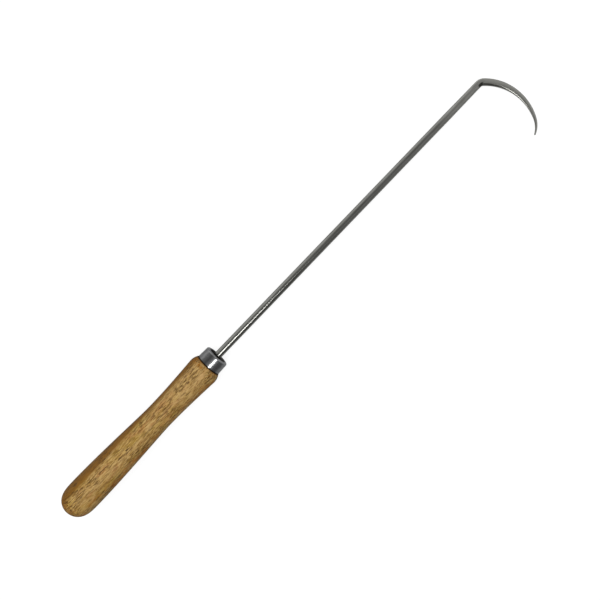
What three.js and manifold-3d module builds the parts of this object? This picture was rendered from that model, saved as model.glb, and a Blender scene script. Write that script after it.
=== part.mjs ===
// Hooked hive tool: a long round steel rod with a tapering claw at one end, and a turned
// wooden handle with a pressed-steel ferrule at the other.
//
// Millimetres, +Z up. The tool lies on a flat surface as it comes to rest there: handle towards
// -X, claw towards +X and curling towards -Y. The origin is on that surface, under the middle
// of the whole tool.
//
// Each piece is built on the rod's own axis, along X, with x = 0 at the ferrule's front face.
// The whole tool is then tipped so that the crest of the handle's flare, the claw's root and its
// tip all touch z = 0. The butt is a little above the surface.

import * as THREE from "three";
import { mergeVertices } from "three/addons/utils/BufferGeometryUtils.js";
import Module from "manifold-3d";

const wasm = await Module();
wasm.setup();

// ---- Driving dimensions -------------------------------------------------------------------

// Handle
const HANDLE_LENGTH = 127.15; // butt to the ferrule's back edge
const BELLY_RADIUS = 11.08;
const BELLY_FROM_BUTT = 17;
const BUTT_FULLNESS = 4.15; // exponent of the domed butt: 2 would be an ellipse
const WAIST_RADIUS = 8.88;
const WAIST_FROM_BUTT = 81.6;
const CREST_RADIUS = 10.46; // the widest part of the flare, in front of the waist
const CREST_FROM_BUTT = 121.65;
const SHOULDER_ROUND = 9; // rounds over the crest and drops to the ferrule
const FLARE_ANGLE = THREE.MathUtils.degToRad(3.7); // slope of the flare as it meets the round
// How far the outline keeps each end's direction on its way to the next one
const BELLY_HOLD = 23.5;
const WAIST_HOLD = 8;
const WAIST_RISE_HOLD = 8;
const FLARE_HOLD = 22;
const SPIGOT_CHAMFER = 0.6;

// Ferrule
const FERRULE_LENGTH = 8.25;
const FERRULE_BACK_RADIUS = 8.6;
const FERRULE_FRONT_RADIUS = 8.3;
const FERRULE_EDGE_ROUND = 1;
const FERRULE_WALL = 0.8;
const RIM_INNER_RADIUS = 6.3; // the front is a flat rim outside this and recessed inside it
const RECESS_RADIUS = 5.6; // at the bottom of the recess
const RECESS_DEPTH = 1.2;
const FERRULE_INNER_CHAMFER = 0.5;

// Rod, tang and claw
const ROD_RADIUS = 2.55;
const ROD_REACH = 247.1; // ferrule's front face to the start of the bend
const NECK_LENGTH = 30; // the rod draws down slightly over this length before the bend
const NECK_HALF_WIDTH = 2.35;
const TANG_DEPTH = 74; // behind the ferrule's front face
const TANG_POINT_LENGTH = 15;
const TANG_FLAT_END = 32; // from the tang's point, where the flattened stretch ends
const TANG_ROUND_START = 40; // from the tang's point, where the rod is round again
const TANG_FLAT_HALF_WIDTH = 3.2;
const TANG_FLAT_HALF_HEIGHT = 1.9;
const TANG_POINT_HALF = 0.9;
const BEND_RADIUS = 5.5;
const BEND_ANGLE = THREE.MathUtils.degToRad(43.5);
const CLAW_RADIUS = 35.1;
const CLAW_ANGLE = THREE.MathUtils.degToRad(72.4);
const CURL_RADIUS = 16.8; // the claw tightens to this towards its tip
const CURL_ANGLE = THREE.MathUtils.degToRad(40.5);
const ROOT_HALF_WIDTH = 2.2;
const ROOT_HALF_HEIGHT = 1.9;
const TIP_HALF_WIDTH = 0.5;
const TIP_HALF_HEIGHT = 0.36;
const CLAW_TAPER = 2.1; // exponent: the claw thins slowly at first and faster near its tip

// Spaces between neighbouring pieces
const GAP = 0.3;

// Facets
const HANDLE_SIDES = 48;
const FERRULE_SIDES = 64;
const ROD_SIDES = 24;

// ---- Places on the axis that follow from them ---------------------------------------------

const FERRULE_BACK_X = -FERRULE_LENGTH;
const BUTT_X = FERRULE_BACK_X - HANDLE_LENGTH;
const BELLY_X = BUTT_X + BELLY_FROM_BUTT;
const WAIST_X = BUTT_X + WAIST_FROM_BUTT;
const CREST_X = BUTT_X + CREST_FROM_BUTT;
const SHOULDER_X = FERRULE_BACK_X - GAP;
const END_WALL_BACK_X = -RECESS_DEPTH - FERRULE_WALL;
const SPIGOT_FRONT_X = END_WALL_BACK_X - GAP;

// ---- Helpers ------------------------------------------------------------------------------

// A geometry with only positions, whose shared vertices are merged.
function welded(geometry) {
  geometry.deleteAttribute("normal");
  geometry.deleteAttribute("uv");
  return mergeVertices(geometry, 1e-4);
}

function toSolid(geometry) {
  const closed = welded(geometry);
  const vertProperties = closed.attributes.position.array;
  const triVerts = new Uint32Array(closed.index.array);
  return new wasm.Manifold(new wasm.Mesh({ numProp: 3, vertProperties, triVerts }));
}

function toGeometry(solid) {
  const { vertProperties, triVerts } = solid.getMesh();
  const geometry = new THREE.BufferGeometry();
  geometry.setAttribute("position", new THREE.BufferAttribute(vertProperties, 3));
  geometry.setIndex(new THREE.BufferAttribute(triVerts, 1));
  return geometry;
}

function namedMesh(name, geometry, material) {
  geometry.computeVertexNormals();
  const mesh = new THREE.Mesh(geometry, material);
  mesh.name = name;
  return mesh;
}

// Turns an outline of Vector2(x, radius) about the X axis.
function turned(outline, sides) {
  const points = outline.map((point) => new THREE.Vector2(point.y, point.x));
  return new THREE.LatheGeometry(points, sides).rotateZ(-Math.PI / 2);
}

// A point on a circle in the (x, radius) half-plane. The angle is measured from straight out,
// positive towards +X.
function roundPoint(centreX, centreRadius, radius, angle) {
  const x = centreX + radius * Math.sin(angle);
  return new THREE.Vector2(x, centreRadius + radius * Math.cos(angle));
}

// A closed bar along X-Y path stations: each has a point, a tangent and the section's half
// sizes, one in the plane of the path and one along Z.
function sweptBar(stations) {
  const last = stations.length - 1;
  const geometry = new THREE.CylinderGeometry(1, 1, 1, ROD_SIDES, last);
  const position = geometry.attributes.position;
  const vertex = new THREE.Vector3();
  for (let i = 0; i < position.count; i++) {
    vertex.fromBufferAttribute(position, i);
    const { point, tangent, halfWidth, halfHeight } = stations[Math.round((0.5 - vertex.y) * last)];
    const sideways = vertex.x * halfWidth;
    const x = point.x - tangent.y * sideways;
    const y = point.y + tangent.x * sideways;
    position.setXYZ(i, x, y, vertex.z * halfHeight);
  }
  return geometry;
}

// ---- Rod ----------------------------------------------------------------------------------

// The rod's centreline: straight from the tang's point to the bend, then three arcs that all
// turn the same way, towards -Y.
function rodPath() {
  const centreline = new THREE.CurvePath();
  const end = new THREE.Vector2(ROD_REACH, 0);
  centreline.add(new THREE.LineCurve(new THREE.Vector2(-TANG_DEPTH, 0), end.clone()));
  let heading = 0;
  const arcs = [
    [BEND_RADIUS, BEND_ANGLE],
    [CLAW_RADIUS, CLAW_ANGLE],
    [CURL_RADIUS, CURL_ANGLE],
  ];
  for (const [radius, angle] of arcs) {
    const x = end.x + radius * Math.sin(heading);
    const y = end.y - radius * Math.cos(heading);
    const start = heading + Math.PI / 2;
    const arc = new THREE.EllipseCurve(x, y, radius, radius, start, start - angle, true);
    centreline.add(arc);
    arc.getPoint(1, end);
    heading -= angle;
  }
  return centreline;
}

const path = rodPath();
const [BEND_START, CLAW_ROOT, CURL_START, TIP_END] = path.getCurveLengths();

function pathPoint(distance) {
  return path.getPoint(distance / TIP_END);
}

// The surface that the tool lies on, in the tool's own coordinates.
function restingPlane() {
  const root = pathPoint(CLAW_ROOT);
  const tip = pathPoint(TIP_END);
  return new THREE.Plane().setFromCoplanarPoints(
    new THREE.Vector3(CREST_X, 0, -CREST_RADIUS),
    new THREE.Vector3(tip.x, tip.y, -TIP_HALF_HEIGHT),
    new THREE.Vector3(root.x, root.y, -ROOT_HALF_HEIGHT),
  );
}

const surface = restingPlane();

function station(distance, halfWidth, halfHeight) {
  const tangent = path.getTangent(distance / TIP_END);
  return { point: pathPoint(distance), tangent, halfWidth, halfHeight };
}

// The tang, from its point forward: pointed, flattened so that it can't turn in the wood, then
// round. With a clearance it is the hole that it sits in.
function tangStations(clearance) {
  const flat = [TANG_FLAT_HALF_WIDTH + clearance, TANG_FLAT_HALF_HEIGHT + clearance];
  const point = TANG_POINT_HALF + clearance;
  const round = ROD_RADIUS + clearance;
  return [
    station(0, point, point),
    station(TANG_POINT_LENGTH, ...flat),
    station(TANG_FLAT_END, ...flat),
    station(TANG_ROUND_START, round, round),
  ];
}

// The bend narrows a little from the drawn-down neck to the claw's root.
function bendStations(steps) {
  return Array.from({ length: steps }, (_, step) => {
    const t = step / steps;
    const halfWidth = THREE.MathUtils.lerp(NECK_HALF_WIDTH, ROOT_HALF_WIDTH, t);
    return station(THREE.MathUtils.lerp(BEND_START, CLAW_ROOT, t), halfWidth, ROOT_HALF_HEIGHT);
  });
}

// The claw's underside is flat: it follows the surface that the tool rests on.
function clawStation(distance) {
  const t = (distance - CLAW_ROOT) / (TIP_END - CLAW_ROOT);
  const halfWidth = THREE.MathUtils.lerp(ROOT_HALF_WIDTH, TIP_HALF_WIDTH, t ** CLAW_TAPER);
  const { x, y } = pathPoint(distance);
  return station(distance, halfWidth, surface.distanceToPoint(new THREE.Vector3(x, y, 0)));
}

function clawStations(from, to, steps) {
  return Array.from({ length: steps }, (_, step) =>
    clawStation(THREE.MathUtils.lerp(from, to, step / steps)),
  );
}

function hookRod() {
  const stations = [
    ...tangStations(0),
    station(BEND_START - NECK_LENGTH, ROD_RADIUS, ROD_RADIUS),
    ...bendStations(8),
    ...clawStations(CLAW_ROOT, CURL_START, 20),
    ...clawStations(CURL_START, TIP_END, 12),
    clawStation(TIP_END),
  ];
  return welded(sweptBar(stations));
}

// ---- Handle -------------------------------------------------------------------------------

function shoulderPoint(angle) {
  return roundPoint(CREST_X, CREST_RADIUS - SHOULDER_ROUND, SHOULDER_ROUND, angle);
}

// The domed butt, up to the fullest part of the belly.
function buttOutline(steps) {
  return Array.from({ length: steps }, (_, step) => {
    const angle = (step / steps) * (Math.PI / 2);
    const x = BELLY_X - BELLY_FROM_BUTT * Math.cos(angle) ** (2 / BUTT_FULLNESS);
    return new THREE.Vector2(x, BELLY_RADIUS * Math.sin(angle));
  });
}

// The long hollow of the grip: belly to waist, then waist to where the shoulder's round begins.
function gripOutline(steps) {
  const bellyToWaist = new THREE.CubicBezierCurve(
    new THREE.Vector2(BELLY_X, BELLY_RADIUS),
    new THREE.Vector2(BELLY_X + BELLY_HOLD, BELLY_RADIUS),
    new THREE.Vector2(WAIST_X - WAIST_HOLD, WAIST_RADIUS),
    new THREE.Vector2(WAIST_X, WAIST_RADIUS),
  );
  const flare = shoulderPoint(-FLARE_ANGLE);
  const flareRise = FLARE_HOLD * Math.tan(FLARE_ANGLE);
  const waistToFlare = new THREE.CubicBezierCurve(
    new THREE.Vector2(WAIST_X, WAIST_RADIUS),
    new THREE.Vector2(WAIST_X + WAIST_RISE_HOLD, WAIST_RADIUS),
    new THREE.Vector2(flare.x - FLARE_HOLD, flare.y - flareRise),
    flare,
  );
  const upToWaist = bellyToWaist.getPoints(steps).slice(0, -1);
  return [...upToWaist, ...waistToFlare.getPoints(steps).slice(0, -1)];
}

// The round that carries the flare over its crest and down to the ferrule's back edge.
function shoulderOutline(steps) {
  const to = Math.asin((SHOULDER_X - CREST_X) / SHOULDER_ROUND);
  return Array.from({ length: steps + 1 }, (_, step) =>
    shoulderPoint(THREE.MathUtils.lerp(-FLARE_ANGLE, to, step / steps)),
  );
}

// The stub that the ferrule is pressed over, slightly tapered like the ferrule.
function spigotOutline() {
  const backRadius = FERRULE_BACK_RADIUS - FERRULE_WALL - GAP;
  const frontRadius = FERRULE_FRONT_RADIUS - FERRULE_WALL - GAP;
  return [
    new THREE.Vector2(SHOULDER_X, backRadius),
    new THREE.Vector2(SPIGOT_FRONT_X - SPIGOT_CHAMFER, frontRadius),
    new THREE.Vector2(SPIGOT_FRONT_X, frontRadius - SPIGOT_CHAMFER),
    new THREE.Vector2(SPIGOT_FRONT_X, 0),
  ];
}

// The blind hole that holds the tang. It runs out past the spigot's front.
function tangHole() {
  const radius = ROD_RADIUS + GAP;
  const mouth = station(TANG_DEPTH, radius, radius);
  return sweptBar([...tangStations(GAP), mouth]).translate(-GAP, 0, 0);
}

function handle() {
  const outline = [
    ...buttOutline(16),
    ...gripOutline(14),
    ...shoulderOutline(7),
    ...spigotOutline(),
  ];
  const blank = toSolid(turned(outline, HANDLE_SIDES));
  return toGeometry(blank.subtract(toSolid(tangHole())));
}

// ---- Ferrule ------------------------------------------------------------------------------

function ferruleEdge(steps) {
  const round = FERRULE_EDGE_ROUND;
  return Array.from({ length: steps + 1 }, (_, step) =>
    roundPoint(-round, FERRULE_FRONT_RADIUS - round, round, (step / steps) * (Math.PI / 2)),
  );
}

// A pressed cup: tapered wall, rounded front edge, flat rim, and an end wall set back inside
// the rim, with the rod's hole in its middle.
function ferrule() {
  const holeRadius = ROD_RADIUS + GAP;
  const innerRadius = FERRULE_FRONT_RADIUS - FERRULE_WALL;
  const outline = [
    new THREE.Vector2(FERRULE_BACK_X, FERRULE_BACK_RADIUS),
    ...ferruleEdge(8),
    new THREE.Vector2(0, RIM_INNER_RADIUS),
    new THREE.Vector2(-RECESS_DEPTH, RECESS_RADIUS),
    new THREE.Vector2(-RECESS_DEPTH, holeRadius),
    new THREE.Vector2(END_WALL_BACK_X, holeRadius),
    new THREE.Vector2(END_WALL_BACK_X, innerRadius - FERRULE_INNER_CHAMFER),
    new THREE.Vector2(END_WALL_BACK_X - FERRULE_INNER_CHAMFER, innerRadius),
    new THREE.Vector2(FERRULE_BACK_X, FERRULE_BACK_RADIUS - FERRULE_WALL),
    new THREE.Vector2(FERRULE_BACK_X, FERRULE_BACK_RADIUS),
  ];
  return welded(turned(outline, FERRULE_SIDES));
}

// ---- Finishes -----------------------------------------------------------------------------

const lacqueredWood = new THREE.MeshStandardMaterial({
  color: 0xb08a55,
  roughness: 0.5,
  metalness: 0,
});
const pressedSteel = new THREE.MeshStandardMaterial({
  color: 0xa3a4a2,
  roughness: 0.3,
  metalness: 1,
});
const drawnSteel = new THREE.MeshStandardMaterial({
  color: 0x8b8b84,
  roughness: 0.35,
  metalness: 1,
});

// ---- Assembly -----------------------------------------------------------------------------

const tool = new THREE.Group();
tool.add(namedMesh("handle", handle(), lacqueredWood));
tool.add(namedMesh("ferrule", ferrule(), pressedSteel));
tool.add(namedMesh("hook_rod", hookRod(), drawnSteel));

// Tip the tool so that the surface it rests on is level, then bring it over the origin.
tool.quaternion.setFromUnitVectors(surface.normal, new THREE.Vector3(0, 0, 1));
const box = new THREE.Box3().setFromObject(tool, true);
const middle = box.getCenter(new THREE.Vector3());
tool.position.set(-middle.x, -middle.y, -box.min.z);

const root = new THREE.Group();
root.add(tool);

export default root;
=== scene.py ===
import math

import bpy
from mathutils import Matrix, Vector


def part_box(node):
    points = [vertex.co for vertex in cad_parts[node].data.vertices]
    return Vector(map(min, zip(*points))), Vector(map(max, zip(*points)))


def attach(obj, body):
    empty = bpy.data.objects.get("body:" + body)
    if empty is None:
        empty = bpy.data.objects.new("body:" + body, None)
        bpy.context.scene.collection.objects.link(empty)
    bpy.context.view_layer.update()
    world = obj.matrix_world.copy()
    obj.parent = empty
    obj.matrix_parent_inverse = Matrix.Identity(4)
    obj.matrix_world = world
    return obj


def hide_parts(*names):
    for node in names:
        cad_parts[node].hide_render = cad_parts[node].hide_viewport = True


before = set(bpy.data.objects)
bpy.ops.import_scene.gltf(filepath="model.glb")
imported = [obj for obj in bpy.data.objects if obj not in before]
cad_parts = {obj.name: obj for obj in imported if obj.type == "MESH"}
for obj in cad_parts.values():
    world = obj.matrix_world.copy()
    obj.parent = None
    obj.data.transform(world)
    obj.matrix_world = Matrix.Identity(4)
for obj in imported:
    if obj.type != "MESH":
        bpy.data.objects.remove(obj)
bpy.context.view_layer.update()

# Looks of the hooked hive tool: a turned and lacquered wooden handle, a pressed steel ferrule and
# a drawn steel rod with a forged claw.
#
# Metres and radians. Each piece is made on the rod's own axis, along X, with x = 0 at the
# ferrule's front face, and is then tipped and moved to where the frame's nodes are.

# ---- Dimensions, as in the CAD part -------------------------------------------------------

# Handle
HANDLE_LENGTH = 0.12715  # butt to the ferrule's back edge
BELLY_RADIUS = 0.01108
BELLY_FROM_BUTT = 0.017
BUTT_FULLNESS = 4.15  # exponent of the domed butt: 2 would be an ellipse
WAIST_RADIUS = 0.00888
WAIST_FROM_BUTT = 0.0816
CREST_RADIUS = 0.01046  # the widest part of the flare, in front of the waist
CREST_FROM_BUTT = 0.12165
SHOULDER_ROUND = 0.009
FLARE_ANGLE = math.radians(3.7)  # slope of the flare as it meets the shoulder's round
# How far the outline keeps each end's direction on its way to the next one
BELLY_HOLD = 0.0235
WAIST_HOLD = 0.008
WAIST_RISE_HOLD = 0.008
FLARE_HOLD = 0.022
SPIGOT_CHAMFER = 0.0006

# Ferrule
FERRULE_LENGTH = 0.00825
FERRULE_BACK_RADIUS = 0.0086
FERRULE_FRONT_RADIUS = 0.0083
FERRULE_EDGE_ROUND = 0.001
FERRULE_WALL = 0.0008
RIM_INNER_RADIUS = 0.0063  # the front is a flat rim outside this and recessed inside it
RECESS_RADIUS = 0.0056  # at the bottom of the recess
RECESS_DEPTH = 0.0012
FERRULE_INNER_CHAMFER = 0.0005

# Rod, tang and claw
ROD_RADIUS = 0.00255
ROD_REACH = 0.2471  # ferrule's front face to the start of the bend
NECK_LENGTH = 0.030  # the rod draws down slightly over this length before the bend
NECK_HALF_WIDTH = 0.00235
TANG_DEPTH = 0.074  # behind the ferrule's front face
TANG_POINT_LENGTH = 0.015
TANG_FLAT_END = 0.032  # from the tang's point, where the flattened stretch ends
TANG_ROUND_START = 0.040  # from the tang's point, where the rod is round again
TANG_FLAT_HALF_WIDTH = 0.0032
TANG_FLAT_HALF_HEIGHT = 0.0019
TANG_POINT_HALF = 0.0009
BEND_RADIUS = 0.0055
BEND_ANGLE = math.radians(43.5)
CLAW_RADIUS = 0.0351
CLAW_ANGLE = math.radians(72.4)
CURL_RADIUS = 0.0168  # the claw tightens to this towards its tip
CURL_ANGLE = math.radians(40.5)
ROOT_HALF_WIDTH = 0.0022
ROOT_HALF_HEIGHT = 0.0019
TIP_HALF_WIDTH = 0.0005
TIP_HALF_HEIGHT = 0.00036
CLAW_TAPER = 2.1  # exponent: the claw thins slowly at first and faster near its tip

GAP = 0.0003  # between neighbouring pieces

# ---- Finer shape than the CAD part has ----------------------------------------------------

HANDLE_SIDES = 128
FERRULE_SIDES = 128
ROD_SIDES = 48
FINE_ROUND = 0.00012  # breaks the ferrule's sharp edges
FERRULE_BACK_ROUND = 0.00035
RIM_INNER_ROUND = 0.00024
RECESS_FILLET = 0.0004
ELLIPSE = 2.0  # exponent of a section that is an ellipse
CLAW_SQUARENESS = 3.0  # exponent of the claw's section at its root
ROUND_AGAIN_AT = 0.6  # the section is an ellipse beyond this fraction of the claw
SQUARE_STARTS_BEFORE = 0.006  # the section grows square over this length before the bend
TIP_ROUND = 0.0005
SHARP_ANGLE = math.radians(35)  # steeper edges than this are shaded sharp

# ---- Places that follow from them ---------------------------------------------------------

# On the axis
FERRULE_BACK_X = -FERRULE_LENGTH
BUTT_X = FERRULE_BACK_X - HANDLE_LENGTH
BELLY_X = BUTT_X + BELLY_FROM_BUTT
WAIST_X = BUTT_X + WAIST_FROM_BUTT
CREST_X = BUTT_X + CREST_FROM_BUTT
SHOULDER_X = FERRULE_BACK_X - GAP
END_WALL_BACK_X = -RECESS_DEPTH - FERRULE_WALL
SPIGOT_FRONT_X = END_WALL_BACK_X - GAP

# Along the rod's centreline, from the tang's point
BEND_START = TANG_DEPTH + ROD_REACH
CLAW_ROOT = BEND_START + BEND_RADIUS * BEND_ANGLE
CURL_START = CLAW_ROOT + CLAW_RADIUS * CLAW_ANGLE
TIP_END = CURL_START + CURL_RADIUS * CURL_ANGLE

# Radius and angle of the centreline's arcs, which all turn towards -Y
ARCS = ((BEND_RADIUS, BEND_ANGLE), (CLAW_RADIUS, CLAW_ANGLE), (CURL_RADIUS, CURL_ANGLE))


def lerp(a, b, t):
    return a + (b - a) * t


def spaced(start, end, steps):
    """steps + 1 values from start to end."""
    return [lerp(start, end, i / steps) for i in range(steps + 1)]


def circle(sides):
    """The cosine and sine of each of so many equal steps round a full turn."""
    angles = [2 * math.pi * k / sides for k in range(sides)]
    return [(math.cos(a), math.sin(a)) for a in angles]


# ---- Rod's centreline ---------------------------------------------------------------------


def rod_point(distance):
    """Point and heading of the centreline at a distance from the tang's point."""
    straight = min(distance, BEND_START)
    point = Vector((straight - TANG_DEPTH, 0.0))
    heading = 0.0
    left = distance - straight
    for radius, angle in ARCS:
        turn = min(left / radius, angle)
        point.x += radius * (math.sin(heading) - math.sin(heading - turn))
        point.y -= radius * (math.cos(heading) - math.cos(heading - turn))
        heading -= turn
        left -= turn * radius
    return point, heading


def resting_plane():
    """A point and the normal of the surface that the tool lies on, on the tool's own axes."""
    root, _ = rod_point(CLAW_ROOT)
    tip, _ = rod_point(TIP_END)
    crest = Vector((CREST_X, 0.0, -CREST_RADIUS))
    to_tip = Vector((tip.x, tip.y, -TIP_HALF_HEIGHT)) - crest
    to_root = Vector((root.x, root.y, -ROOT_HALF_HEIGHT)) - crest
    return crest, to_tip.cross(to_root).normalized()


SURFACE_POINT, SURFACE_NORMAL = resting_plane()

# ---- Meshes -------------------------------------------------------------------------------


def make_piece(name, rings, unrolled, closed_loop=False):
    """A mesh through rings of points. The first and last rings are closed by a centre point,
    unless the rings themselves close into a loop. Each vertex keeps its place on the tool's axes,
    its unrolled place (distance along the outline or bar, and two sideways coordinates) and how
    far it faces along the tool."""
    sides = len(rings[0])
    last = len(rings) - 1
    vertices = [point for ring in rings for point in ring]
    places = [place for ring in unrolled for place in ring]
    faces = []
    for i in range(last + 1 if closed_loop else last):
        here = i * sides
        there = (i + 1) % len(rings) * sides
        for k in range(sides):
            m = (k + 1) % sides
            faces.append((here + k, here + m, there + m, there + k))
    if not closed_loop:
        for end, turn in ((0, -1), (last, 1)):
            centre = sum((Vector(point) for point in rings[end]), Vector()) / sides
            vertices.append(tuple(centre))
            places.append((unrolled[end][0][0], 0.0, 0.0))
            for k in range(sides):
                pair = (end * sides + k, end * sides + (k + 1) % sides)[::turn]
                faces.append((*pair, len(vertices) - 1))
    mesh = bpy.data.meshes.new(name)
    mesh.from_pydata(vertices, [], faces)
    for label, values in (("tool_space", vertices), ("unrolled_space", places)):
        layer = mesh.attributes.new(label, "FLOAT_VECTOR", "POINT")
        layer.data.foreach_set("vector", [c for value in values for c in value])
    end_grain = mesh.attributes.new("end_grain", "FLOAT", "POINT")
    end_grain.data.foreach_set("value", [abs(vertex.normal.x) for vertex in mesh.vertices])
    mesh.shade_smooth()
    mesh.set_sharp_from_angle(angle=SHARP_ANGLE)
    piece = bpy.data.objects.new(name, mesh)
    bpy.context.scene.collection.objects.link(piece)
    return piece


def turned(name, outline, sides, closed_loop=False):
    """Turns an outline of (x, radius) about the X axis. Poles are left to the centre points."""
    rings = []
    unrolled = []
    along = 0.0
    before = outline[0]
    for x, radius in outline:
        along += math.dist(before, (x, radius))
        before = (x, radius)
        rings.append([(x, radius * c, radius * s) for c, s in circle(sides)])
        unrolled.append([(along, radius * c, radius * s) for c, s in circle(sides)])
    return make_piece(name, rings, unrolled, closed_loop)


def squared_off(value, squareness):
    """A cosine or sine of an ellipse, moved out towards the corners of a squarer section."""
    return math.copysign(abs(value) ** (2 / squareness), value)


def swept(name, stations, sides):
    """A bar along the rod's centreline. A station is a distance, the section's half width in the
    plane of the claw, its half height and its squareness."""
    rings = []
    unrolled = []
    for distance, half_width, half_height, squareness in stations:
        point, heading = rod_point(distance)
        ring = []
        places = []
        for c, s in circle(sides):
            across = half_width * squared_off(c, squareness)
            up = half_height * squared_off(s, squareness)
            x = point.x - across * math.sin(heading)
            y = point.y + across * math.cos(heading)
            ring.append((x, y, up))
            places.append((distance, across, up))
        rings.append(ring)
        unrolled.append(places)
    return make_piece(name, rings, unrolled)


def arc(centre_x, centre_radius, radius, start, end, steps):
    """Points on a circle in the (x, radius) half-plane. Angles are from straight out towards +X."""
    angles = spaced(start, end, steps)
    return [(centre_x + radius * math.sin(a), centre_radius + radius * math.cos(a)) for a in angles]


def bezier(a, b, c, d, steps):
    """Points on a cubic Bezier curve, without its last one."""
    points = []
    for t in spaced(0, 1, steps)[:-1]:
        u = 1 - t
        weights = (u**3, 3 * u * u * t, 3 * u * t * t, t**3)
        points.append(tuple(sum(w * p[i] for w, p in zip(weights, (a, b, c, d))) for i in (0, 1)))
    return points


def filleted_loop(corners, steps):
    """A closed outline from corners (x, radius, fillet). A corner with a fillet becomes an arc."""
    outline = []
    for i, (x, radius, fillet) in enumerate(corners):
        if not fillet:
            outline.append((x, radius))
            continue
        here = Vector((x, radius))
        before = (Vector(corners[i - 1][:2]) - here).normalized()
        after = (Vector(corners[(i + 1) % len(corners)][:2]) - here).normalized()
        half = before.angle(after) / 2
        middle = here + (before + after).normalized() * fillet / math.sin(half)
        first = here + before * fillet / math.tan(half) - middle
        last = here + after * fillet / math.tan(half) - middle
        for a in spaced(0, first.angle_signed(last), steps):
            spoke = Vector(first)
            spoke.rotate(Matrix.Rotation(-a, 2))
            outline.append(tuple(middle + spoke))
    return outline


# ---- Handle -------------------------------------------------------------------------------


def butt_outline():
    """The domed butt, between its pole and the fullest part of the belly."""
    outline = []
    for angle in spaced(0, math.pi / 2, steps=48)[1:-1]:
        x = BELLY_X - BELLY_FROM_BUTT * math.cos(angle) ** (2 / BUTT_FULLNESS)
        outline.append((x, BELLY_RADIUS * math.sin(angle)))
    return outline


def grip_outline():
    """The long hollow of the grip: belly to waist, and waist to where the shoulder's round
    begins. The round then carries the flare over its crest and down to the ferrule."""
    flare_x = CREST_X - SHOULDER_ROUND * math.sin(FLARE_ANGLE)
    flare_radius = CREST_RADIUS - SHOULDER_ROUND * (1 - math.cos(FLARE_ANGLE))
    flare_rise = FLARE_HOLD * math.tan(FLARE_ANGLE)
    waist = (WAIST_X, WAIST_RADIUS)
    belly_to_waist = bezier(
        (BELLY_X, BELLY_RADIUS),
        (BELLY_X + BELLY_HOLD, BELLY_RADIUS),
        (WAIST_X - WAIST_HOLD, WAIST_RADIUS),
        waist,
        steps=40,
    )
    waist_to_flare = bezier(
        waist,
        (WAIST_X + WAIST_RISE_HOLD, WAIST_RADIUS),
        (flare_x - FLARE_HOLD, flare_radius - flare_rise),
        (flare_x, flare_radius),
        steps=40,
    )
    round_centre = (CREST_X, CREST_RADIUS - SHOULDER_ROUND)
    round_end = math.asin((SHOULDER_X - CREST_X) / SHOULDER_ROUND)
    shoulder = arc(*round_centre, SHOULDER_ROUND, -FLARE_ANGLE, round_end, steps=24)
    return belly_to_waist + waist_to_flare + shoulder


def spigot_outline():
    """The stub inside the ferrule, and the hole in it that holds the tang."""
    back_radius = FERRULE_BACK_RADIUS - FERRULE_WALL - GAP
    front_radius = FERRULE_FRONT_RADIUS - FERRULE_WALL - GAP
    bore = ROD_RADIUS + GAP
    wide_bore = TANG_FLAT_HALF_WIDTH + GAP
    return [
        (SHOULDER_X, back_radius),
        (SPIGOT_FRONT_X - SPIGOT_CHAMFER, front_radius),
        (SPIGOT_FRONT_X, front_radius - SPIGOT_CHAMFER),
        (SPIGOT_FRONT_X, bore),
        (TANG_ROUND_START - TANG_DEPTH, bore),
        (TANG_FLAT_END - TANG_DEPTH, wide_bore),
        (TANG_POINT_LENGTH - TANG_DEPTH, wide_bore),
        (-TANG_DEPTH - GAP, TANG_POINT_HALF + GAP),
    ]


def handle_outline():
    """From the butt along the outside, down the spigot and back along the tang's hole."""
    return butt_outline() + grip_outline() + spigot_outline()


# ---- Ferrule ------------------------------------------------------------------------------


def ferrule_outline():
    """A pressed cup: tapered wall, rounded front edge, flat rim, and an end wall set back inside
    the rim, with the rod's hole in its middle."""
    hole = ROD_RADIUS + GAP
    inner = FERRULE_FRONT_RADIUS - FERRULE_WALL
    chamfer = FERRULE_INNER_CHAMFER
    corners = [
        (FERRULE_BACK_X, FERRULE_BACK_RADIUS, FERRULE_BACK_ROUND),
        (0.0, FERRULE_FRONT_RADIUS, FERRULE_EDGE_ROUND),
        (0.0, RIM_INNER_RADIUS, RIM_INNER_ROUND),
        (-RECESS_DEPTH, RECESS_RADIUS, RECESS_FILLET),
        (-RECESS_DEPTH, hole, FINE_ROUND),
        (END_WALL_BACK_X, hole, FINE_ROUND),
        (END_WALL_BACK_X, inner - chamfer, 0),
        (END_WALL_BACK_X - chamfer, inner, 0),
        (FERRULE_BACK_X, FERRULE_BACK_RADIUS - FERRULE_WALL, FINE_ROUND),
    ]
    return filleted_loop(corners, steps=8)


# ---- Rod ----------------------------------------------------------------------------------


def tang_stations():
    """From the tang's point forward: pointed, flattened, then round."""
    flat = (TANG_FLAT_HALF_WIDTH, TANG_FLAT_HALF_HEIGHT, ELLIPSE)
    return [
        (0.0, TANG_POINT_HALF, TANG_POINT_HALF, ELLIPSE),
        (TANG_POINT_LENGTH, *flat),
        (TANG_FLAT_END, *flat),
        (TANG_ROUND_START, ROD_RADIUS, ROD_RADIUS, ELLIPSE),
    ]


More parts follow.
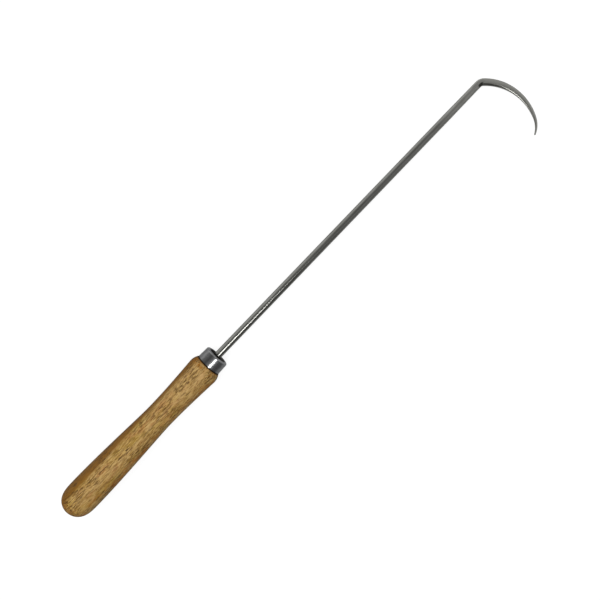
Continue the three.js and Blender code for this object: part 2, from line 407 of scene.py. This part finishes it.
def neck_stations():
    """The drawn rod, which narrows slightly and grows a little square just before the bend."""
    neck_start = BEND_START - NECK_LENGTH
    stations = []
    for distance in spaced(TANG_ROUND_START, neck_start, steps=40)[1:]:
        stations.append((distance, ROD_RADIUS, ROD_RADIUS, ELLIPSE))
    for distance in spaced(neck_start, BEND_START, steps=24)[1:-1]:
        t = (distance - neck_start) / NECK_LENGTH
        square = max(0.0, (distance - BEND_START + SQUARE_STARTS_BEFORE) / SQUARE_STARTS_BEFORE)
        half_width = lerp(ROD_RADIUS, NECK_HALF_WIDTH, t)
        half_height = lerp(ROD_RADIUS, ROOT_HALF_HEIGHT, t)
        stations.append((distance, half_width, half_height, lerp(ELLIPSE, CLAW_SQUARENESS, square)))
    return stations


def bend_stations():
    """The bend, which narrows a little from the neck to the claw's root."""
    stations = []
    for distance in spaced(BEND_START, CLAW_ROOT, steps=16)[:-1]:
        t = (distance - BEND_START) / (CLAW_ROOT - BEND_START)
        half_width = lerp(NECK_HALF_WIDTH, ROOT_HALF_WIDTH, t)
        stations.append((distance, half_width, ROOT_HALF_HEIGHT, CLAW_SQUARENESS))
    return stations


def claw_station(distance):
    """The claw's underside follows the surface that the tool lies on."""
    t = (distance - CLAW_ROOT) / (TIP_END - CLAW_ROOT)
    point, _ = rod_point(distance)
    half_width = lerp(ROOT_HALF_WIDTH, TIP_HALF_WIDTH, t**CLAW_TAPER)
    half_height = abs((Vector((*point, 0.0)) - SURFACE_POINT).dot(SURFACE_NORMAL))
    into_tip = max(0.0, 1 - (TIP_END - distance) / TIP_ROUND)
    shrink = math.sqrt(max(0.0, 1 - into_tip**2))
    squareness = lerp(CLAW_SQUARENESS, ELLIPSE, min(1.0, t / ROUND_AGAIN_AT))
    return (distance, half_width * shrink, half_height * shrink, squareness)


def rod_stations():
    """The whole bar. The claw's last stations come closer together, to round off its tip."""
    tip_start = TIP_END - TIP_ROUND
    claw = [claw_station(distance) for distance in spaced(CLAW_ROOT, tip_start, steps=72)]
    turns = spaced(0, math.pi / 2, steps=6)[1:-1]
    tip = [claw_station(TIP_END - TIP_ROUND * (1 - math.sin(turn))) for turn in turns]
    return tang_stations() + neck_stations() + bend_stations() + claw + tip


# ---- Into the frame -----------------------------------------------------------------------


def place_on_frame(handle, ferrule, rod):
    """Tips the pieces so that the surface the tool lies on is level, and moves them together so
    that the handle is where the frame has it."""
    pieces = (handle, ferrule, rod)
    level = SURFACE_NORMAL.rotation_difference(Vector((0, 0, 1))).to_matrix().to_4x4()
    for piece in pieces:
        piece.data.transform(level)
    low = Vector(min(v.co[i] for v in handle.data.vertices) for i in range(3))
    high = Vector(max(v.co[i] for v in handle.data.vertices) for i in range(3))
    cad_low, cad_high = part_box("handle")
    move = Matrix.Translation((cad_low + cad_high - low - high) / 2)
    for piece in pieces:
        piece.data.transform(move)
        piece.data.update()


# ---- Node helpers -------------------------------------------------------------------------


class Nodes:
    """Short calls for the nodes of a tree."""

    def __init__(self, tree):
        self.tree = tree

    def add(self, kind, inputs, output=0, **settings):
        """A new node with its settings and inputs. Returns one of its outputs, or a slice."""
        node = self.tree.nodes.new(kind)
        for key, value in settings.items():
            setattr(node, key, value)
        for key, value in inputs.items():
            self.feed(node.inputs[key], value)
        return node.outputs[output]

    def feed(self, socket, value):
        """Links a socket to another node's output, or gives it a plain value."""
        if isinstance(value, bpy.types.NodeSocket):
            self.tree.links.new(value, socket)
        else:
            socket.default_value = value

    def attribute(self, name):
        return self.add("ShaderNodeAttribute", {}, "Vector", attribute_name=name)

    def scalar(self, name):
        return self.add("ShaderNodeAttribute", {}, "Fac", attribute_name=name)

    def axes(self, vector):
        return self.add("ShaderNodeSeparateXYZ", {"Vector": vector}, slice(None))

    def noise(self, place, along, across, detail=2.0, roughness=0.5, offset=(0, 0, 0)):
        """Noise with so many features to a metre along the first coordinate, and across it along
        the other two. The offset keeps noises of similar scales from lining up."""
        scaled = {"Vector": place, "Location": offset, "Scale": (along, across, across)}
        inputs = {
            "Vector": self.add("ShaderNodeMapping", scaled),
            "Scale": 1.0,
            "Detail": detail,
            "Roughness": roughness,
        }
        return self.add("ShaderNodeTexNoise", inputs, "Fac")

    def ramp(self, value, low, high, to_low=0.0, to_high=1.0):
        """A smooth step: to_low at low and before, to_high at high and beyond."""
        inputs = {
            "Value": value,
            "From Min": low,
            "From Max": high,
            "To Min": to_low,
            "To Max": to_high,
        }
        smooth = {"interpolation_type": "SMOOTHSTEP", "clamp": True}
        return self.add("ShaderNodeMapRange", inputs, **smooth)

    def band(self, value, start, full_from, full_to, end):
        """1 between full_from and full_to, fading to 0 at start and at end."""
        return self.product(self.ramp(value, start, full_from), self.ramp(value, end, full_to))

    def math(self, operation, a, b=0.0):
        return self.add("ShaderNodeMath", {0: a, 1: b}, operation=operation)

    def folded(self, operation, terms):
        """Works an operation through all the terms, from the first to the last."""
        result = terms[0]
        for term in terms[1:]:
            result = self.math(operation, result, term)
        return result

    def sum(self, *terms):
        return self.folded("ADD", terms)

    def product(self, *factors):
        return self.folded("MULTIPLY", factors)

    def strongest(self, *masks):
        return self.folded("MAXIMUM", masks)

    def length(self, a, b):
        squares = self.sum(self.math("POWER", a, 2.0), self.math("POWER", b, 2.0))
        return self.math("SQRT", squares)

    def mix(self, factor, a, b):
        """Colour a turned into colour b by a factor. A Mix node's colour sockets go by number,
        because its sockets for other kinds of value have the same names."""
        inputs = {0: factor, 6: a, 7: b}
        return self.add("ShaderNodeMix", inputs, 2, data_type="RGBA", blend_type="MIX")

    def bump(self, height, distance, strength):
        inputs = {"Height": height, "Distance": distance, "Strength": strength}
        return self.add("ShaderNodeBump", inputs)


class Shader(Nodes):
    """A material's nodes, which end in one Principled shader."""

    def __init__(self, name):
        self.material = bpy.data.materials.new(name)
        self.material.use_nodes = True
        super().__init__(self.material.node_tree)
        self.principled = self.tree.nodes["Principled BSDF"]

    def finish(self, **sockets):
        for key, value in sockets.items():
            self.feed(self.principled.inputs[key.replace("_", " ")], value)
        return self.material


def shade(*colour):
    """A colour with full alpha."""
    return (*colour, 1.0)


# ---- Wood ---------------------------------------------------------------------------------

WOOD_TAN = shade(0.285, 0.160, 0.034)
WOOD_PALE = shade(0.43, 0.280, 0.104)
WOOD_DARK = shade(0.115, 0.050, 0.003)
WOOD_PINK = shade(0.37, 0.180, 0.060)
WOOD_YELLOW = shade(0.31, 0.200, 0.020)
WOOD_AMBER = shade(0.170, 0.070, 0.002)
WOOD_RUST = shade(0.28, 0.105, 0.004)
# Also the colour of the painted shade along the seam with the ferrule
WOOD_PORE_AND_SEAM_SHADE = shade(0.050, 0.018, 0.001)

# The growth rings' centre is well outside the handle
PITH_Y = -0.060
PITH_Z = -0.004
PITH_LEAN = 0.016  # metres sideways for each metre along the handle
RING_PERIOD = 0.0031
RING_WANDER = 0.0034
RING_STRENGTH = 0.16
AMBER_FROM_PITH = 0.0690  # darker, redder wood beyond this
AMBER_FADE = 0.0018
AMBER_STRENGTH = 0.90

PORES_OUTSIDE_GROUPS = 0.15
# Also the strength of the painted shade along the seam with the ferrule
PORE_AND_SEAM_SHADE_STRENGTH = 0.85
PORE_RELIEF = 0.00012

# Where the wood is stained, paler or darkened by painted shade: where it starts to show, and where
# it is full
LOW_EDGE_Y = (-0.0052, -0.0088)
BUTT_EDGE_X = (BUTT_X + 0.010, BUTT_X + 0.002)
BUTT_EDGE_STRENGTH = 0.45
SHOULDER_EDGE_X = (SHOULDER_X - 0.0045, SHOULDER_X - 0.002)
# Painted shade along the seam with the ferrule
SEAM_SHADE_X = (SHOULDER_X - 0.0006, SHOULDER_X)
# Paler in patches from here on towards the shoulder
PALER_X = (SHOULDER_X - 0.040, SHOULDER_X - 0.020)


def growth(w, place):
    """Masks of the growth rings and of the amber wood that is farthest from their centre."""
    x, y, z = w.axes(place)
    wander = w.noise(place, along=9, across=40)
    from_pith_y = w.sum(y, w.product(x, -PITH_LEAN), -PITH_Y)
    from_pith_z = w.math("SUBTRACT", z, PITH_Z)
    wavy = w.sum(w.length(from_pith_y, from_pith_z), w.product(wander, RING_WANDER))
    phase = w.product(wavy, 2 * math.pi / RING_PERIOD)
    ring = w.ramp(w.math("SINE", phase), -0.4, 1.0)
    amber = w.ramp(wavy, AMBER_FROM_PITH, AMBER_FROM_PITH + AMBER_FADE)
    return ring, amber


def open_pores(w, place):
    """A mask of the pores: short dashes in groups, and a few long scratches of them."""
    group = w.ramp(w.noise(place, along=60, across=260, detail=1, offset=(4, 8, 3)), 0.44, 0.60)
    density = w.sum(w.product(group, 1 - PORES_OUTSIDE_GROUPS), PORES_OUTSIDE_GROUPS)
    dash = w.noise(place, along=300, across=2900, detail=0, offset=(2, 2, 6))
    vessel = w.noise(place, along=90, across=2600, detail=0, offset=(6, 1, 5))
    dashes = w.product(w.ramp(dash, 0.54, 0.62), density)
    return w.strongest(dashes, w.ramp(vessel, 0.70, 0.75, to_high=0.9))


def lacquered_wood():
    """Open-pored light hardwood, turned and clear-lacquered. It is stained rusty where the lacquer
    wore on the edges and round the butt, paler in patches in front of the waist, and darkened by
    painted shade along its seam with the ferrule."""
    w = Shader("lacquered_wood")
    place = w.attribute("tool_space")
    end_grain = w.scalar("end_grain")
    x, y, _ = w.axes(place)
    ring, amber = growth(w, place)
    pores = open_pores(w, place)

    # Grain, from coarse to fine
    patch = w.noise(place, along=38, across=150, offset=(9, 4, 1))
    mottle = w.noise(place, along=80, across=300, detail=3, roughness=0.6, offset=(1, 5, 2))
    fleck = w.noise(place, along=230, across=1050, detail=3, roughness=0.8, offset=(3, 1, 7))
    fibre = w.noise(place, along=160, across=2200, detail=3, roughness=0.6)

    stain = w.noise(place, along=120, across=260, detail=3, roughness=0.6, offset=(5, 2, 9))
    butt_edge = w.ramp(x, *BUTT_EDGE_X)
    edges = w.strongest(w.ramp(y, *LOW_EDGE_Y), butt_edge, w.ramp(x, *SHOULDER_EDGE_X))
    rust = w.product(edges, w.ramp(stain, 0.47, 0.62, to_high=0.85))
    # Paler in patches in front of the waist
    paler_patches = w.product(w.ramp(x, *PALER_X), w.ramp(mottle, 0.35, 0.65, 0.15, 0.5))
    # Pores, and painted shade along the seam with the ferrule
    pores_and_seam_shade = w.strongest(pores, w.ramp(x, *SEAM_SHADE_X))

    colour = w.mix(w.ramp(fibre, 0.34, 0.66), WOOD_TAN, WOOD_PALE)
    colour = w.mix(w.ramp(patch, 0.46, 0.66, to_high=0.45), colour, WOOD_YELLOW)
    colour = w.mix(w.ramp(mottle, 0.50, 0.66, to_high=0.65), colour, WOOD_PINK)
    colour = w.mix(w.product(ring, RING_STRENGTH), colour, WOOD_DARK)
    colour = w.mix(paler_patches, colour, WOOD_PALE)
    colour = w.mix(w.ramp(fleck, 0.54, 0.34, to_high=0.72), colour, WOOD_DARK)
    colour = w.mix(w.ramp(fleck, 0.50, 0.66, to_high=0.70), colour, WOOD_PALE)
    colour = w.mix(w.product(amber, AMBER_STRENGTH), colour, WOOD_AMBER)
    colour = w.mix(rust, colour, WOOD_RUST)
    colour = w.mix(w.product(butt_edge, BUTT_EDGE_STRENGTH), colour, WOOD_AMBER)
    colour = w.mix(w.ramp(end_grain, 0.30, 0.9, to_high=0.40), colour, WOOD_DARK)
    # Darker in the pores and in the painted shade along the seam
    colour = w.mix(w.product(pores_and_seam_shade, PORE_AND_SEAM_SHADE_STRENGTH), colour, WOOD_PORE_AND_SEAM_SHADE)

    relief = w.sum(w.product(fibre, 0.35), w.product(pores, -1.0))
    return w.finish(
        Base_Color=colour,
        Roughness=w.ramp(fibre, 0.3, 0.7, 0.50, 0.64),
        Normal=w.bump(relief, PORE_RELIEF, strength=0.7),
        Coat_Weight=0.2,
        Coat_Roughness=0.40,
        Coat_IOR=1.5,
        Specular_IOR_Level=0.22,
    )


# ---- Ferrule's steel ----------------------------------------------------------------------

FERRULE_BRIGHT = shade(0.56, 0.57, 0.58)
FERRULE_PLAIN = shade(0.45, 0.46, 0.47)
# Dull patches, and the painted shade on the +Y flank
FERRULE_DULL_AND_SHADED = shade(0.30, 0.30, 0.30)
# Painted dark reflection on the +Y side
FERRULE_DARK_REFLECTION = shade(0.15, 0.15, 0.15)
FERRULE_SCUFFED = shade(0.20, 0.19, 0.17)
# Painted highlight along the ferrule and round its front edge
FERRULE_PAINTED_HIGHLIGHT = shade(0.80, 0.81, 0.82)
PAINTED_HIGHLIGHT_STRENGTH = 0.45
# Painted shade, in the ferrule's recess and seam and in the rod's bend
PAINTED_SHADE = shade(0.030, 0.027, 0.022)
PAINTED_SHADE_STRENGTH = 0.94
TURNING_RELIEF = 0.000003

# Ramps: where a mark starts to show, and where it is full
# Painted shade in the recess and along the seam with the wood
RECESS_EDGE = (RIM_INNER_RADIUS + 0.0002, RIM_INNER_RADIUS - 0.0002)
BACK_SEAM_X = (FERRULE_BACK_X + 0.0007, FERRULE_BACK_X + 0.0001)
# Painted shade on the +Y flank
SHADED_SIDE_Y = (0.0050, 0.0075)
# Painted highlight round the front edge
RIM_HIGHLIGHT_X = (-0.0012, -0.0006)
RIM_HIGHLIGHT_RADIUS = (RIM_INNER_RADIUS + 0.0004, RIM_INNER_RADIUS + 0.001)
# Bands: where a mark starts to show, is full from, is full to and ends
# Painted dark reflection on the +Y side
DARK_REFLECTION_Y = (0.0008, 0.0024, 0.0046, 0.0062)
# Painted highlight along the ferrule
HIGHLIGHT_LINE_Y = (-0.0030, -0.0020, -0.0010, 0.0)


def painted_highlight_mask(m, x, y, radius, smudge):
    """A mask of the painted highlight: a line along the ferrule and patches round its front edge.
    """
    front_edge = m.product(m.ramp(x, *RIM_HIGHLIGHT_X), m.ramp(radius, *RIM_HIGHLIGHT_RADIUS))
    patches = m.product(front_edge, m.ramp(smudge, 0.42, 0.56, 0.1, 0.9))
    return m.strongest(m.band(y, *HIGHLIGHT_LINE_Y), patches)


def ferrule_steel():
    """Bright pressed steel with fine marks running round it, dull and scuffed in places, with a
    painted dark reflection and painted shade on its +Y side, a painted highlight along it and
    round its front edge, and painted shade in its recess and its seam with the wood."""
    m = Shader("ferrule_steel")
    place = m.attribute("tool_space")
    unrolled = m.attribute("unrolled_space")
    turning = m.noise(unrolled, along=5200, across=60, detail=3, roughness=0.6)
    smudge = m.noise(place, along=320, across=420, detail=4, roughness=0.6)
    scuff = m.noise(place, along=900, across=2600, offset=(5, 5, 1))
    x, y, z = m.axes(place)
    radius = m.length(y, z)
    # A painted dark reflection on the +Y side
    dark_reflection = m.product(m.band(y, *DARK_REFLECTION_Y), m.ramp(smudge, 0.3, 0.5, 0.5, 0.85))
    # Painted highlight
    painted_highlight = painted_highlight_mask(m, x, y, radius, smudge)
    # Painted shade in the recess and along the seam with the wood
    recess_and_seam_shade = m.strongest(m.ramp(radius, *RECESS_EDGE), m.ramp(x, *BACK_SEAM_X))

    colour = m.mix(m.ramp(smudge, 0.35, 0.7), FERRULE_PLAIN, FERRULE_DULL_AND_SHADED)
    colour = m.mix(m.ramp(turning, 0.3, 0.7, to_high=0.40), colour, FERRULE_BRIGHT)
    # Painted dark reflection
    colour = m.mix(dark_reflection, colour, FERRULE_DARK_REFLECTION)
    # Painted shade on the +Y flank
    colour = m.mix(m.ramp(y, *SHADED_SIDE_Y, to_high=0.30), colour, FERRULE_DULL_AND_SHADED)
    colour = m.mix(m.ramp(scuff, 0.62, 0.72, to_high=0.5), colour, FERRULE_SCUFFED)
    # Painted highlight
    colour = m.mix(m.product(painted_highlight, PAINTED_HIGHLIGHT_STRENGTH), colour, FERRULE_PAINTED_HIGHLIGHT)
    # Painted shade
    colour = m.mix(m.product(recess_and_seam_shade, PAINTED_SHADE_STRENGTH), colour, PAINTED_SHADE)

    roughness = m.sum(
        m.ramp(turning, 0.3, 0.7, 0.26, 0.33),
        m.ramp(smudge, 0.4, 0.7, to_high=0.06),
        m.product(painted_highlight, -0.10),
    )
    relief = m.sum(turning, m.product(scuff, -0.3))
    return m.finish(
        Base_Color=colour,
        Roughness=roughness,
        Normal=m.bump(relief, TURNING_RELIEF, strength=0.5),
        Metallic=1.0,
    )


# ---- Rod's steel --------------------------------------------------------------------------

ROD_BRIGHT = shade(0.58, 0.58, 0.55)
ROD_PLAIN = shade(0.48, 0.48, 0.45)
ROD_DULL = shade(0.35, 0.35, 0.315)
ROD_SPECK = shade(0.16, 0.145, 0.115)
FORGED = shade(0.66, 0.66, 0.61)
FORGED_STRENGTH = 0.8
# Painted shade in the bend's inner corner and along the claw's inner edge
BEND_SHADE_STRENGTH = 0.92
EDGE_SHADE_STRENGTH = 0.75
DRAWN_RELIEF = 0.000005

# Where the forged finish and the painted shade lie along the bar and across it, as for the ferrule
FORGED_ALONG = (BEND_START - 0.006, CLAW_ROOT + 0.002)
# Painted shade in the inner corner of the bend
CORNER_ALONG = (BEND_START - 0.0026, BEND_START - 0.0008, BEND_START + 0.0016, BEND_START + 0.0036)
CORNER_ACROSS = (-0.0001, -0.0008)
# Painted shade along the inner edge of the claw's first part
EDGE_ALONG = (BEND_START, BEND_START + 0.002, CLAW_ROOT + 0.006, CLAW_ROOT + 0.020)
EDGE_ACROSS = (-0.0013, -0.0018)


def rod_steel():
    """Drawn steel with fine lines along it, matt and lighter where it was forged, with painted
    shade in the inner corner of the bend and along the inner edge of the claw's first part."""
    m = Shader("rod_steel")
    unrolled = m.attribute("unrolled_space")
    lines = m.noise(unrolled, along=28, across=4200, detail=3, roughness=0.6)
    smudge = m.noise(unrolled, along=90, across=500, detail=4, roughness=0.6, offset=(2, 7, 1))
    speck = m.noise(unrolled, along=1300, across=2600, offset=(8, 1, 4))
    along, across, _ = m.axes(unrolled)
    forged = m.ramp(along, *FORGED_ALONG)
    corner = m.product(m.band(along, *CORNER_ALONG), m.ramp(across, *CORNER_ACROSS))
    inner_edge = m.product(m.band(along, *EDGE_ALONG), m.ramp(across, *EDGE_ACROSS))
    # Painted shade in the bend's inner corner and along the claw's inner edge
    bend_and_edge_shade = m.strongest(corner, m.product(inner_edge, EDGE_SHADE_STRENGTH))

    colour = m.mix(m.ramp(smudge, 0.35, 0.7), ROD_PLAIN, ROD_DULL)
    colour = m.mix(m.ramp(lines, 0.3, 0.7, to_high=0.4), colour, ROD_BRIGHT)
    colour = m.mix(m.product(forged, FORGED_STRENGTH), colour, FORGED)
    colour = m.mix(m.ramp(speck, 0.64, 0.76, to_high=0.5), colour, ROD_SPECK)
    # Painted shade
    colour = m.mix(m.product(bend_and_edge_shade, BEND_SHADE_STRENGTH), colour, PAINTED_SHADE)

    roughness = m.sum(m.ramp(lines, 0.3, 0.7, 0.17, 0.26), m.product(forged, 0.14))
    relief = m.sum(lines, m.product(speck, -0.15))
    return m.finish(
        Base_Color=colour,
        Roughness=roughness,
        Normal=m.bump(relief, DRAWN_RELIEF, strength=0.5),
        Metallic=1.0,
    )


# ---- The three pieces ---------------------------------------------------------------------


def make_tool():
    handle = turned("turned_handle", handle_outline(), HANDLE_SIDES)
    ferrule = turned("pressed_ferrule", ferrule_outline(), FERRULE_SIDES, closed_loop=True)
    rod = swept("forged_hook_rod", rod_stations(), ROD_SIDES)
    place_on_frame(handle, ferrule, rod)
    parts = (
        (handle, "handle", "lacquered_wood", lacquered_wood()),
        (ferrule, "ferrule", "ferrule_steel", ferrule_steel()),
        (rod, "hook_rod", "rod_steel", rod_steel()),
    )
    for piece, node, slot, material in parts:
        piece.data.materials.append(material)
        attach(piece, "root")
        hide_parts(node)


# ---- Studio -------------------------------------------------------------------------------

CAMERA_PLACE = (-0.00147, 0.00629, 0.3195)  # straight above the tool
CAMERA_TURN = math.radians(-46.19)
LENS = 28.8
SENSOR = 36.0

STUDIO_RADIUS = 1.6
STUDIO_CORNER = 0.9
STUDIO_HEIGHT = 2.4
STUDIO_SIDES = 96
PAPER_GREY = 0.16
PAPER_GLOW = 0.86

OVERHEAD_GREY = 0.12
BELOW_GREY = 0.30


def studio_outline():
    """Height and radius of the floor and of the wall that it curves up into. The floor's middle
    point is left out."""
    flat_radius = STUDIO_RADIUS - STUDIO_CORNER
    outline = [(0.0, radius) for radius in spaced(0.0, flat_radius, steps=6)[1:]]
    for angle in spaced(0, math.pi / 2, steps=16)[1:]:
        height = STUDIO_CORNER * (1 - math.cos(angle))
        outline.append((height, flat_radius + STUDIO_CORNER * math.sin(angle)))
    outline.append((STUDIO_HEIGHT, STUDIO_RADIUS))
    return outline


def pale_paper():
    paper = Shader("pale_paper")
    return paper.finish(
        Base_Color=shade(PAPER_GREY, PAPER_GREY, PAPER_GREY),
        Roughness=0.9,
        Specular_IOR_Level=0.0,
        Emission_Color=shade(1.0, 1.0, 1.0),
        Emission_Strength=PAPER_GLOW,
    )


def studio_floor():
    """A pale floor that curves up into a wall all round. Only the camera sees it: the steel
    reflects the studio's own grey surroundings."""
    outline = studio_outline()
    vertices = [(0.0, 0.0, 0.0)]
    for height, radius in outline:
        vertices += [(radius * c, radius * s, height) for c, s in circle(STUDIO_SIDES)]
    faces = []
    for k in range(STUDIO_SIDES):
        faces.append((0, 1 + k, 1 + (k + 1) % STUDIO_SIDES))
    for i in range(len(outline) - 1):
        here = 1 + i * STUDIO_SIDES
        there = here + STUDIO_SIDES
        for k in range(STUDIO_SIDES):
            m = (k + 1) % STUDIO_SIDES
            faces.append((here + k, there + k, there + m, here + m))
    mesh = bpy.data.meshes.new("studio_floor")
    mesh.from_pydata(vertices, [], faces)
    mesh.shade_smooth()
    mesh.materials.append(pale_paper())
    floor = bpy.data.objects.new("studio_floor", mesh)
    bpy.context.scene.collection.objects.link(floor)
    floor.visible_glossy = False
    floor.visible_diffuse = False
    floor.visible_shadow = False


def softbox(name, centre, size, power, in_reflections):
    """A rectangular soft light that faces the middle of the tool. Its long side runs along X."""
    data = bpy.data.lights.new(name, "AREA")
    data.shape = "RECTANGLE"
    data.size, data.size_y = size
    data.energy = power
    light = bpy.data.objects.new(name, data)
    bpy.context.scene.collection.objects.link(light)
    light.location = centre
    light.visible_glossy = in_reflections
    toward = -Vector(centre).normalized()
    side = Vector((1, 0, 0))
    side = (side - toward * side.dot(toward)).normalized()
    up = side.cross(toward)
    light.rotation_euler = Matrix((side, up, -toward)).transposed().to_euler()


def surroundings():
    """Grey all round, by direction: dark overhead and on the -Y side, light on the +Y side, below
    and low down beyond the claw."""
    world = bpy.data.worlds.new("studio")
    bpy.context.scene.world = world
    world.use_nodes = True
    n = Nodes(world.node_tree)
    x, y, z = n.axes(n.add("ShaderNodeTexCoord", {}, "Generated"))
    toward_plus_y = n.sum(n.ramp(y, 0.1, 0.6, to_high=0.10), n.ramp(y, 0.5, 0.95, to_high=0.34))
    toward_minus_y = n.ramp(y, -0.2, -0.8, to_high=-0.04)
    claw_side = n.product(n.ramp(y, 0.0, -0.5), n.ramp(x, 0.0, 0.35, to_high=0.12))
    beyond_claw = n.ramp(x, 0.42, 0.62, to_high=0.24)
    above = n.sum(OVERHEAD_GREY, toward_plus_y, toward_minus_y, claw_side, beyond_claw)
    is_below = n.ramp(z, -0.05, -0.35)
    grey = n.sum(above, n.product(is_below, n.math("SUBTRACT", BELOW_GREY, above)))
    n.feed(n.tree.nodes["Background"].inputs["Color"], grey)


def overhead_camera():
    data = bpy.data.cameras.new("camera")
    data.lens = LENS
    data.sensor_width = SENSOR
    camera = bpy.data.objects.new("camera", data)
    bpy.context.scene.collection.objects.link(camera)
    camera.location = CAMERA_PLACE
    camera.rotation_euler = (0.0, 0.0, CAMERA_TURN)
    bpy.context.scene.camera = camera


def make_studio():
    studio_floor()
    surroundings()
    softbox(
        "key_softbox",
        centre=(-0.1, 0.12, 1.1),
        size=(0.9, 0.9),
        power=13.0,
        in_reflections=False,
    )
    softbox(
        "strip_softbox",
        centre=(-0.285, -0.33, 1.0),
        size=(0.53, 0.20),
        power=2.3,
        in_reflections=True,
    )
    overhead_camera()
    bpy.context.scene.view_settings.view_transform = "Standard"


make_tool()
make_studio()
